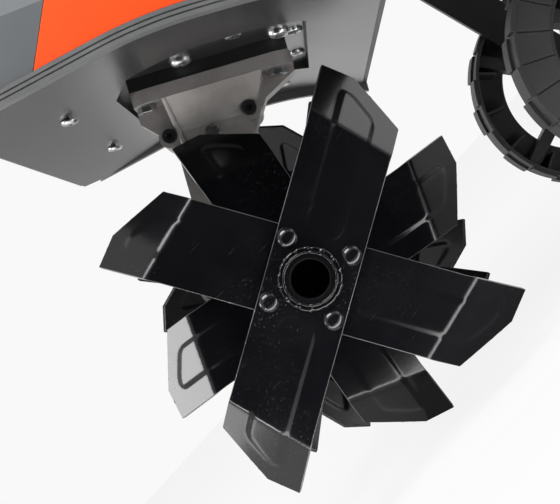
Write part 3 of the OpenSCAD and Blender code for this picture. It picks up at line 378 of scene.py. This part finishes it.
for discName, disc in discs.items():
    for layer, shift, turn in (("front", 0.5, 0), ("back", -0.5, 90)):
        strip = bladeStrip()
        clock = math.radians(disc["clock"] + tipLag + turn)
        place = Matrix.Translation(axle) @ Matrix.Rotation(clock, 4, "Y")
        place = place @ Matrix.Diagonal((mm, -disc["side"] * mm, mm, 1))
        place = place @ Matrix.Translation((0, -disc["y"] - shift * blade["thick"], 0))
        bmesh.ops.transform(strip, matrix=place, verts=strip.verts)
        if disc["side"] > 0:
            bmesh.ops.reverse_faces(strip, faces=strip.faces)
        name = discName + "_blade_" + layer
        piece = addPiece(name + "_stamped", strip, "tine_rotor", "blade_paint", [name])
        wall = piece.modifiers.new("sheet", "SOLIDIFY")
        wall.thickness, wall.offset, wall.use_even_offset = blade["sheet"] * mm, 0, True
        # the bevelled edges take the lighter edge colour, partly wear and partly painted highlight
        piece.data.materials.append(edgeWearAndHighlight)
        rounding = addBevel(piece, blade["edge"] * mm, 2, blade["edgeAngle"])
        rounding.material, rounding.use_clamp_overlap = 1, False
print("blades:", 2 * len(discs))

# rounded copies of the cast, pressed and moulded nodes, with the edge each has in mm
softEdges = {"gearbox_left": 1.5, "gearbox_right": 1.5, "gearbox_screws": 0.4, "flange_bolts": 0.4,
             "grease_plug": 0.4, "guard_plate": 0.7, "hood_base": 0.5, "rear_frame": 0.8,
             "left_wheel_arm": 1.0, "right_wheel_arm": 1.0, "battery_bay": 0.6, "battery_pack": 2.5,
             "battery_latch": 0.8, "left_fold_knob": 1.5, "right_fold_knob": 1.5, "switch_box": 4.0,
             "trigger_bar": 0.8, "lock_button": 1.2, "axle_caps": 1.0, "frame_screws": 0.5,
             "arm_bolts": 0.6, "hub_pins": 0.6, "flange_spacer": 0.5, "left_hub": 0.5, "right_hub": 0.5,
             "fold_bolts": 0.5, "control_box": 1.5, "hood": 1.0, "front_panel": 1.0}
flange = {"front": -74, "rear": 24, "half": 30, "radius": 11, "steps": 9, "near": 0.1}


def roundFlange(shape):
    # the flange's upright corner edges become wide arcs
    toMachine = machine.inverted()
    corners = []
    for edge in shape.edges:
        ends = [toMachine @ vert.co for vert in edge.verts]
        offSides = [abs(abs(end.y) - flange["half"]) for end in ends]
        offEnds = [min(abs(end.x - flange["front"]), abs(end.x - flange["rear"])) for end in ends]
        upright = abs(ends[0].x - ends[1].x)
        if max(offSides + offEnds + [upright]) < flange["near"]:
            corners.append(edge)
    bmesh.ops.bevel(shape, geom=corners, offset=flange["radius"] * mm, segments=flange["steps"],
                    affect="EDGES", profile=0.5, material=-1)


hubEnd = {"from": 122.9, "end": 126, "radius": 13.9}


def squareHub(shape):
    # the plain weld cone of the CAD hub is drawn in, since the weld has beads of its own below
    for vert in shape.verts:
        spoke = vert.co - axle
        reach = math.hypot(spoke.x, spoke.z)
        if abs(spoke.y) > hubEnd["from"] * mm:
            share = min(hubEnd["radius"] * mm / reach, 1)
            along = math.copysign(min(abs(spoke.y), hubEnd["end"] * mm), spoke.y)
            vert.co = axle + Vector((spoke.x * share, along, spoke.z * share))
    bmesh.ops.remove_doubles(shape, verts=shape.verts, dist=1e-5)
    bmesh.ops.dissolve_degenerate(shape, edges=shape.edges, dist=1e-5)


shapers = {"gearbox_left": roundFlange, "gearbox_right": roundFlange,
           "left_hub": squareHub, "right_hub": squareHub}
for node, edge in softEdges.items():
    softenNode(node, edge * mm, 3 if node.startswith("gearbox_") else 2, 30, shapers.get(node))
print("rounded copies:", len(softEdges))

# a cast rib on each side of the gearbox, along the front edge of the flared face
# its path has (x, y, z) steps from the top
rib = {"path": ((-54.6, 28.2, 124.5), (-53.4, 21.2, 114), (-52.2, 17.2, 104), (-50.2, 16.6, 91)),
       "wide": 2.8, "out": 1.7, "root": 10, "edge": 1.0}
for side, name in ((-1, "left"), (1, "right")):
    shape = bmesh.new()
    rings = []
    for x, y, z in rib["path"]:
        front, back, top = x - rib["wide"] / 2, x + rib["wide"] / 2, y + rib["out"]
        corners = [(front, rib["root"]), (back, rib["root"]), (back, top), (front, top)]
        rings.append([shape.verts.new(machine @ Vector((across, side * out, z))) for across, out in corners])
    for upper, lower in zip(rings, rings[1:]):
        for k in range(4):
            shape.faces.new((upper[k], upper[(k + 1) % 4], lower[(k + 1) % 4], lower[k]))
    shape.faces.new(rings[0])
    shape.faces.new(rings[-1])
    bmesh.ops.recalc_face_normals(shape, faces=shape.faces)
    piece = addPiece("case_rib_" + name, shape, "frame", "case_alloy")
    sharpen(piece, 30)
    addBevel(piece, rib["edge"] * mm, 3)


# turned pieces: a profile of (radius, place along the axis) in mm, spun about Y
def spinProfile(shape, profile, steps, closed=True):
    verts = [shape.verts.new((radius, along, 0)) for radius, along in profile]
    pairs = list(zip(verts, verts[1:])) + ([(verts[-1], verts[0])] if closed else [])
    edges = [shape.edges.new(pair) for pair in pairs]
    bmesh.ops.spin(shape, geom=verts + edges, cent=(0, 0, 0), axis=(0, 1, 0), angle=math.tau, steps=steps,
                   use_merge=True)
    bmesh.ops.remove_doubles(shape, verts=shape.verts, dist=1e-4)
    bmesh.ops.recalc_face_normals(shape, faces=shape.faces)


def addBlock(shape, low, high, turn=0):
    low, high = Vector(low), Vector(high)
    place = Matrix.Rotation(turn, 4, "Y") @ Matrix.Translation((low + high) / 2)
    bmesh.ops.create_cube(shape, size=1, matrix=place @ Matrix.Diagonal((*(high - low), 1)))


def settle(shape, centre, turn=None):
    place = Matrix.Translation(centre) @ (turn or Matrix.Identity(4)) @ Matrix.Scale(mm, 4)
    bmesh.ops.transform(shape, matrix=place, verts=shape.verts)


def joinInto(whole, part):
    carrier = bpy.data.meshes.new("carrier")
    part.to_mesh(carrier)
    whole.from_mesh(carrier)
    bpy.data.meshes.remove(carrier)
    part.free()


# wheels: a moulded drum that is open on the inside, with ribs and two rows of long tread blocks
wheel = {"radius": 70, "base": 68.2, "inside": 58, "outside": 88, "rim": 66, "window": 46.9, "web": 5,
         "webEdge": 1.4, "hub": 14, "bore": 6.1, "soft": 1, "lip": 0.6, "shoulder": 0.4, "fillet": 2,
         "sink": 1, "spokes": 5, "spokeTurn": 20, "spokeThick": 8, "spokeWide": 14,
         "ribs": 15, "ribThick": 1.6, "ribStart": 7, "ribInset": 3,
         "lugs": 24, "lugRise": 0.9, "lugStart": 2, "lugEnd": 0.6, "lugGap": 1.2, "lugSteps": 5,
         "blocks": 12, "blockRoot": 1.5, "blockTop": 69.8, "blockInset": 0.1, "blockGap": 1, "blockSteps": 4,
         "steps": 120, "edge": 0.6}


def addArcBlock(shape, profile, start, sweep, steps):
    # a closed section of (radius, along) swept part of the way round Y, with both ends closed
    across, down = math.cos(start), -math.sin(start)
    verts = [shape.verts.new((radius * across, along, radius * down)) for radius, along in profile]
    edges = [shape.edges.new(pair) for pair in zip(verts, verts[1:] + verts[:1])]
    swept = bmesh.ops.spin(shape, geom=verts + edges, cent=(0, 0, 0), axis=(0, 1, 0), angle=sweep,
                           steps=steps)
    last = [part for part in swept["geom_last"] if isinstance(part, bmesh.types.BMEdge)]
    bmesh.ops.edgeloop_fill(shape, edges=edges)
    bmesh.ops.edgeloop_fill(shape, edges=last)


def drumWheel():
    shape = bmesh.new()
    low, high, hub, bore = [wheel[key] for key in ("inside", "outside", "hub", "bore")]
    rim, base, window = [wheel[key] for key in ("rim", "base", "window")]
    soft, lip, fillet, sink = [wheel[key] for key in ("soft", "lip", "fillet", "sink")]
    middle, webOut = (low + high) / 2, high - wheel["webEdge"]
    webIn = webOut - wheel["web"]
    drum = [(rim, low + lip), (rim + lip, low), (base - soft, low), (base, low + soft), (base, high - soft),
            (base - soft, high - wheel["shoulder"]), (rim, webOut), (window + soft, webOut),
            (window, webOut - soft), (window, webIn + soft), (window + soft, webIn), (rim - fillet, webIn),
            (rim, webIn - fillet)]
    boss = [(bore, low), (hub - soft, low), (hub, low + soft), (hub, high - soft), (hub - soft, high),
            (bore, high)]
    for profile in (drum, boss):
        spinProfile(shape, profile, wheel["steps"])
    thick, wide = wheel["spokeThick"] / 2, wheel["spokeWide"] / 2
    for k in range(wheel["spokes"]):
        addBlock(shape, (hub - sink, middle - wide, -thick), (rim + sink, middle + wide, thick),
                 math.tau * k / wheel["spokes"] + math.radians(wheel["spokeTurn"]))
    thick, inset = wheel["ribThick"] / 2, wheel["ribInset"]
    for k in range(wheel["ribs"]):
        addBlock(shape, (window + wheel["ribStart"], low + inset, -thick), (rim + sink, high - inset, thick),
                 math.tau * (k + 0.5) / wheel["ribs"])
    start, end = window + wheel["lugStart"], base - wheel["lugEnd"]
    root, top = webOut - sink, webOut + wheel["lugRise"]
    lug = [(start, root), (end, root), (end, top), (start, top)]
    pitch = math.tau / wheel["lugs"]
    for k in range(wheel["lugs"]):
        addArcBlock(shape, lug, k * pitch, pitch - wheel["lugGap"] / base, wheel["lugSteps"])
    root, top = base - wheel["blockRoot"], wheel["blockTop"]
    pitch = math.tau / wheel["blocks"]
    sweep = pitch / 2 - wheel["blockGap"] / wheel["radius"]
    rows = ((low + wheel["blockInset"], middle), (middle, high - wheel["blockInset"]))
    for row, (start, end) in enumerate(rows):
        block = [(root, start), (top, start), (top, end), (root, end)]
        for k in range(wheel["blocks"]):
            addArcBlock(shape, block, (k + row / 2) * pitch, sweep, wheel["blockSteps"])
    bmesh.ops.recalc_face_normals(shape, faces=shape.faces)
    return shape


wheelCentre = Vector(joints["left_wheel_spin"]["pos_m"])
for side, name in ((-1, "left_wheel"), (1, "right_wheel")):
    drum = drumWheel()
    settle(drum, wheelCentre)
    mirrorLeft(drum, side)
    piece = addPiece(name + "_moulded", drum, name, "black_plastic", [name])
    sharpen(piece, 30)
    addBevel(piece, wheel["edge"] * mm, 2, 40)
print("wheels made")

# handle trim: foam grips and tube plugs
foldPoint = Vector(joints["handle_fold"]["pos_m"])
barPoint = Vector(next(mount for mount in record["mounts"] if mount["name"] == "handlebar")["pos_m"])
alongHandle = (barPoint - foldPoint).normalized()
grip = {"start": 26.6, "end": 105.8, "radius": 15.3, "bore": 11.1, "ends": 2.2, "ringStep": 8,
        "ringGap": 2, "ringDepth": 0.7, "steps": 56}
for side, name in ((-1, "left_grip"), (1, "right_grip")):
    sleeve = bmesh.new()
    radius, gap, first, last = grip["radius"], grip["ringGap"], grip["start"], grip["end"]
    outer, place = [(radius - grip["ends"], first)], first + grip["ends"]
    while place < last - grip["ends"]:
        ringEnd = place + grip["ringStep"]
        outer += [(radius, place), (radius, ringEnd - gap), (radius - grip["ringDepth"], ringEnd - gap / 2)]
        place = ringEnd
    outer += [(radius, last - grip["ends"]), (radius - grip["ends"], last)]
    outer = [point for point in outer if point[1] <= last]
    spinProfile(sleeve, [(grip["bore"], first)] + outer + [(grip["bore"], last)], grip["steps"])
    settle(sleeve, barPoint)
    mirrorLeft(sleeve, side)
    sharpen(addPiece(name + "_foam", sleeve, "upper_handle", "foam", [name]), 50)

plug = {"profile": ((0, 3), (6, 2.6), (9.4, 1.4), (10.9, 0.2), (10.9, -0.6), (0, -0.6)), "steps": 40,
        "lowerReach": 22, "upperReach": 60, "lowerY": 128, "upperY": 151}
toHandle = acrossY.rotation_difference(alongHandle).to_matrix().to_4x4()
for side in (-1, 1):
    for name, body, y, reach in (("lower_plug", "frame", plug["lowerY"], plug["lowerReach"]),
                                 ("upper_plug", "upper_handle", plug["upperY"], -plug["upperReach"])):
        cap = bmesh.new()
        spinProfile(cap, plug["profile"], plug["steps"], False)
        turn = toHandle if reach > 0 else toHandle @ Matrix.Rotation(math.pi, 4, "X")
        settle(cap, foldPoint + alongHandle * reach * mm + acrossY * side * y * mm, turn)
        label = name + ("_left" if side < 0 else "_right")
        sharpen(addPiece(label, cap, body, "black_plastic"), 40)
print("handle trim made")

# weld beads round the outer ends of the hubs, two thin unevenly rippled rings, and a liner in the bore
beads = ({"ring": 15.0, "size": 1.3, "y": 123.3}, {"ring": 13.2, "size": 0.75, "y": 125.9})
bead = {"steps": 160, "sides": 12, "waves": ((23, 0.16), (37, 0.10), (9, 0.14), (5, 0.1))}
liner = {"steps": 72, "profile": ((0, 98), (0, 96), (12.75, 96), (12.75, 125.4), (11.0, 125.6), (10.3, 125.3),
                                  (9.7, 124.4), (9.7, 98))}
for side, name in ((-1, "left"), (1, "right")):
    weld = bmesh.new()
    for one in beads:
        ring = bmesh.new()
        size, profile = one["size"], []
        for k in range(bead["sides"]):
            turn = math.tau * k / bead["sides"]
            profile.append((one["ring"] + size * math.cos(turn), one["y"] + size * math.sin(turn)))
        spinProfile(ring, profile, bead["steps"])
        for vert in ring.verts:
            angle = math.atan2(vert.co.z, vert.co.x)
            swell = 1 + sum(height * math.sin(angle * count + count + one["ring"])
                            for count, height in bead["waves"])
            spoke = Vector((math.cos(angle), 0, math.sin(angle))) * one["ring"] + acrossY * one["y"]
            vert.co = spoke + (vert.co - spoke) * swell
        joinInto(weld, ring)
    sleeve = bmesh.new()
    spinProfile(sleeve, liner["profile"], liner["steps"])
    for label, shape, finish in (("_weld", weld, glossFinish), ("_hub_liner", sleeve, boreFinish)):
        settle(shape, axle)
        mirrorLeft(shape, side)
        sharpen(addPiece(name + label, shape, "tine_rotor", "blade_paint", (), finish), 50)

# rivets with smooth domes on both faces of a disc
rivet = {"ring": 23.5, "shank": 2.9, "shankRise": 0.02, "steps": 32,
         "dome": ((0, 2.6), (1.6, 2.48), (3.1, 2.05), (4.3, 1.3), (5, 0.5), (5.2, 0.05))}
for side, name in ((-1, "left"), (1, "right")):
    heads = bmesh.new()
    outer = [(radius, blade["thick"] + rise) for radius, rise in rivet["dome"]]
    outer.append((rivet["shank"], blade["thick"] + rivet["shankRise"]))
    profile = outer + [(radius, -along) for radius, along in reversed(outer)]
    for discName in (name + "_outer", name + "_inner"):
        disc = discs[discName]
        for k in range(4):
            one = bmesh.new()
            spinProfile(one, profile, rivet["steps"], False)
            spot = Matrix.Rotation(math.radians(disc["clock"] + tipLag + 45 + 90 * k), 4, "Y")
            spot = spot @ Matrix.Translation((rivet["ring"] * mm, 0, 0))
            settle(one, axle + acrossY * side * disc["y"] * mm, spot)
            joinInto(heads, one)
    piece = addPiece(name + "_rivets_domed", heads, "tine_rotor", "blade_paint", [name + "_rivets"],
                     glossFinish)
    sharpen(piece, 50)
print("welds and rivets made")

# guard fasteners: domed heads, cross recesses in the small ones, at the places of the CAD screws
# a dome has (share of the radius, share of the rise) steps from its tip
screwHead = {"small": 5.6, "smallRise": 2.2, "boltRise": 4, "shank": 2, "slotHalf": 0.6, "slotReach": 2.3,
             "slotDepth": 1.2, "slotWall": 0.12, "steps": 40,
             "dome": ((0, 0), (0.5, 0.06), (0.8, 0.24), (0.96, 0.6), (1, 1))}


def screwIslands(mesh):
    # middle, radius, lowest and highest point of each separate screw, in machine millimetres
    shape = bmesh.new()
    shape.from_mesh(mesh)
    bmesh.ops.remove_doubles(shape, verts=shape.verts, dist=1e-6)
    left, toMachine, found = set(shape.verts), machine.inverted(), []
    while left:
        island, todo = [], [left.pop()]
        while todo:
            vert = todo.pop()
            island.append(toMachine @ vert.co)
            for edge in vert.link_edges:
                other = edge.other_vert(vert)
                if other in left:
                    left.remove(other)
                    todo.append(other)
        xs, ys, zs = zip(*island)
        middle = ((min(xs) + max(xs)) / 2, (min(ys) + max(ys)) / 2)
        found.append((middle, (max(xs) - min(xs)) / 2, min(zs), max(zs)))
    shape.free()
    return found


heads = bmesh.new()
for (x, y), radius, low, high in screwIslands(nodes["guard_screws"].data):
    small = radius < screwHead["small"]
    rise = screwHead["smallRise"] if small else screwHead["boltRise"]
    one = bmesh.new()
    profile = [(radius * wide, rise * tall) for wide, tall in screwHead["dome"]]
    profile += [(screwHead["shank"], rise), (screwHead["shank"], high - low), (0, high - low)]
    spinProfile(one, profile, screwHead["steps"], False)
    if small:
        for reach in (screwHead["slotHalf"], screwHead["slotReach"]):
            for way in (Vector((1, 0, 0)), Vector((0, 0, 1)), Vector((-1, 0, 0)), Vector((0, 0, -1))):
                bmesh.ops.bisect_plane(one, geom=one.verts[:] + one.edges[:] + one.faces[:], dist=1e-4,
                                       plane_co=way * reach, plane_no=way)
        slots = []
        for face in one.faces:
            spot = face.calc_center_median()
            near, far = sorted((abs(spot.x), abs(spot.z)))
            if near < screwHead["slotHalf"] and far < screwHead["slotReach"] and spot.y < rise / 2:
                slots.append(face)
        bmesh.ops.inset_region(one, faces=slots, thickness=screwHead["slotWall"],
                               depth=-screwHead["slotDepth"], use_even_offset=True)
    place = machine @ Matrix.Translation((x, y, low)) @ Matrix.Rotation(math.radians(90), 4, "X")
    bmesh.ops.transform(one, matrix=place, verts=one.verts)
    joinInto(heads, one)
sharpen(addPiece("guard_screws_headed", heads, "frame", slotOf["guard_screws"], ["guard_screws"]), 40)
print("guard screws made")

# camera, worked out from the tine tips in the photograph
photoView = {"roll": 16, "turn": -2.16, "tip": -0.83, "stand": (6.2, -684.3, 5.1), "focal": 1133.7,
             "pictureWidth": 560, "sensor": 36}
roll = math.radians(photoView["roll"])
pictureRight = machineRear * math.cos(roll) - machineUp * math.sin(roll)
pictureUp = machineRear * math.sin(roll) + machineUp * math.cos(roll)
picture = Matrix((pictureRight, acrossY, pictureUp)).transposed()
turned = Matrix.Rotation(math.radians(photoView["turn"]), 3, "Z")
aim = turned @ Matrix.Rotation(math.radians(photoView["tip"]), 3, "X")
right, ahead, above = [picture @ Vector(row) for row in aim]
cameraData = bpy.data.cameras.new("photoCamera")
cameraData.sensor_width = photoView["sensor"]
cameraData.lens = photoView["focal"] / photoView["pictureWidth"] * photoView["sensor"]
cameraData.clip_start = 0.01
camera = bpy.data.objects.new("photoCamera", cameraData)
scene.collection.objects.link(camera)
facing = Matrix((right, above, -ahead)).transposed().to_4x4()
camera.matrix_world = Matrix.Translation(axle + picture @ Vector(photoView["stand"]) * mm) @ facing
scene.camera = camera

# floor and light
stage = {"floorSize": 8.0, "floorDrop": 0.0005, "floor": (0.74, 0.74, 0.735, 1), "backdrop": 0.945,
         "seen": 0.9, "mirrored": 0.2, "skyBright": 0.72, "skyDark": 0.06, "skyTurn": (0.3, 0.85)}


def addStage(name, shape, finish):
    mesh = bpy.data.meshes.new(name)
    shape.to_mesh(mesh)
    shape.free()
    piece = bpy.data.objects.new(name, mesh)
    scene.collection.objects.link(piece)
    mesh.materials.append(finish)
    piece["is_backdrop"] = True
    return piece


def seenShare(board, direct, mirrored):
    # the share of backdrop in what the camera sees itself, and in what it sees reflected or through glass
    path = board.add("ShaderNodeLightPath")
    either = board.add("ShaderNodeMath", {"operation": "MAXIMUM"},
                       {0: path.out("Is Glossy Ray"), 1: path.out("Is Transmission Ray")})
    return board.add("ShaderNodeMath", {"operation": "MAXIMUM"},
                     {0: path.out("Is Camera Ray") * direct, 1: either * mirrored})


floorPaint = bpy.data.materials.new("floorPaint")
board = clearBoard(floorPaint)
lit = board.add("ShaderNodeBsdfDiffuse", None, {"Color": stage["floor"]})
glow = board.add("ShaderNodeEmission", None, {"Color": grey(stage["backdrop"]), "Strength": 1.0})
share = seenShare(board, stage["seen"], stage["mirrored"])
mixed = board.add("ShaderNodeMixShader", None, {0: share, 1: lit, 2: glow})
board.add("ShaderNodeOutputMaterial", None, {"Surface": mixed})
floorShape = bmesh.new()
bmesh.ops.create_grid(floorShape, x_segments=4, y_segments=4, size=stage["floorSize"] / 2,
                      matrix=Matrix.Translation((0, 0, -stage["floorDrop"])))
addStage("floor", floorShape, floorPaint)

# cards that only reflections see, with their corners in metres in the frame: a dark one on the camera's
# side keeps the blade flats black, a grey one on the floor shades the front of the guard, one under the
# tines shades their tips, and a pale one lights the guard's rear
cards = {"darkCard": {"shade": 0.01, "rows": (((-1.5, -0.30, 0.001), (0.9, -0.30, 0.001)),
                                              ((-1.5, -0.95, 0.05), (0.9, -0.95, 0.05)),
                                              ((-1.5, -1.10, 0.75), (0.9, -1.10, 0.75)))},
         "greyCard": {"shade": 0.38, "rows": (((-2.4, 0.4, 0.001), (-0.62, 0.4, 0.001)),
                                              ((-2.4, 3.0, 0.001), (-0.62, 3.0, 0.001)))},
         "underCard": {"shade": 0.23, "rows": (((-0.45, -0.18, 0.0005), (-0.28, -0.18, 0.0005)),
                                               ((-0.45, 0.12, 0.0005), (-0.28, 0.12, 0.0005)))},
         "paleCard": {"shade": 0.945, "rows": (((-0.62, 0.6, 0.001), (0.8, 0.6, 0.001)),
                                               ((-0.62, 3.0, 0.001), (0.8, 3.0, 0.001)))}}
for name, card in cards.items():
    cardPaint = bpy.data.materials.new(name + "Paint")
    board = clearBoard(cardPaint)
    glow = board.add("ShaderNodeEmission", None, {"Color": grey(card["shade"]), "Strength": 1.0})
    board.add("ShaderNodeOutputMaterial", None, {"Surface": glow})
    cardShape = bmesh.new()
    rows = [[cardShape.verts.new(corner) for corner in row] for row in card["rows"]]
    for (left, right), (nextLeft, nextRight) in zip(rows, rows[1:]):
        cardShape.faces.new((left, right, nextRight, nextLeft))
    sheet = addStage(name, cardShape, cardPaint)
    sheet.visible_camera = sheet.visible_diffuse = False
    sheet.visible_shadow = sheet.visible_transmission = False

world = bpy.data.worlds.new("studio")
scene.world = world
board = clearBoard(world)
way = board.add("ShaderNodeTexCoord").out("Generated")
parts = board.add("ShaderNodeSeparateXYZ", None, {0: way})
behindCamera = step(board, parts.out("Y") * -1, stage["skyTurn"])
sky = blend(board, behindCamera, grey(stage["skyBright"]), grey(stage["skyDark"]))
shown = blend(board, seenShare(board, 1, 1), sky, grey(stage["backdrop"]))
glow = board.add("ShaderNodeBackground", None, {"Color": shown, "Strength": 1.0})
board.add("ShaderNodeOutputWorld", None, {"Surface": glow})

# places are in mm from the tine axle, sizes in metres; all lamps but the key show in reflections
machineMiddle = (150, 0, 100)
lamps = {"key": {"at": (-300, -900, 900), "wide": 0.9, "tall": 0.9, "power": 4, "gloss": False},
         "front": {"at": (-1150, -60, 560), "wide": 0.4, "tall": 0.4, "power": 6},
         "low": {"at": (-560, -90, -105), "to": (-560, -90, 400), "wide": 0.3, "tall": 0.2, "power": 0.85},
         "bend": {"at": (-440, -320, -97), "to": (-440, -320, 400), "turn": -27, "wide": 0.36, "tall": 0.05,
                  "power": 1.2},
         "strip": {"at": (-10, -185, -100), "to": (-10, -60, 200), "wide": 0.42, "tall": 0.035,
                   "power": 0.38},
         "top": {"at": (40, -700, 1000), "wide": 0.8, "tall": 0.5, "power": 15},
         "rear": {"at": (1250, -130, 400), "wide": 0.6, "tall": 0.6, "power": 2.2}}
for name, lamp in lamps.items():
    data = bpy.data.lights.new(name, "AREA")
    data.shape, data.size, data.size_y, data.energy = "RECTANGLE", lamp["wide"], lamp["tall"], lamp["power"]
    light = bpy.data.objects.new(name, data)
    scene.collection.objects.link(light)
    light.location = axle + Vector(lamp["at"]) * mm
    light.rotation_mode = "QUATERNION"
    target = axle + Vector(lamp.get("to", machineMiddle)) * mm
    spin = Quaternion((0, 0, 1), math.radians(lamp.get("turn", 0)))
    light.rotation_quaternion = (target - light.location).to_track_quat("-Z", "Y") @ spin
    light.visible_glossy, light.visible_camera = lamp.get("gloss", True), False
print("camera and light set")

low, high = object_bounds()
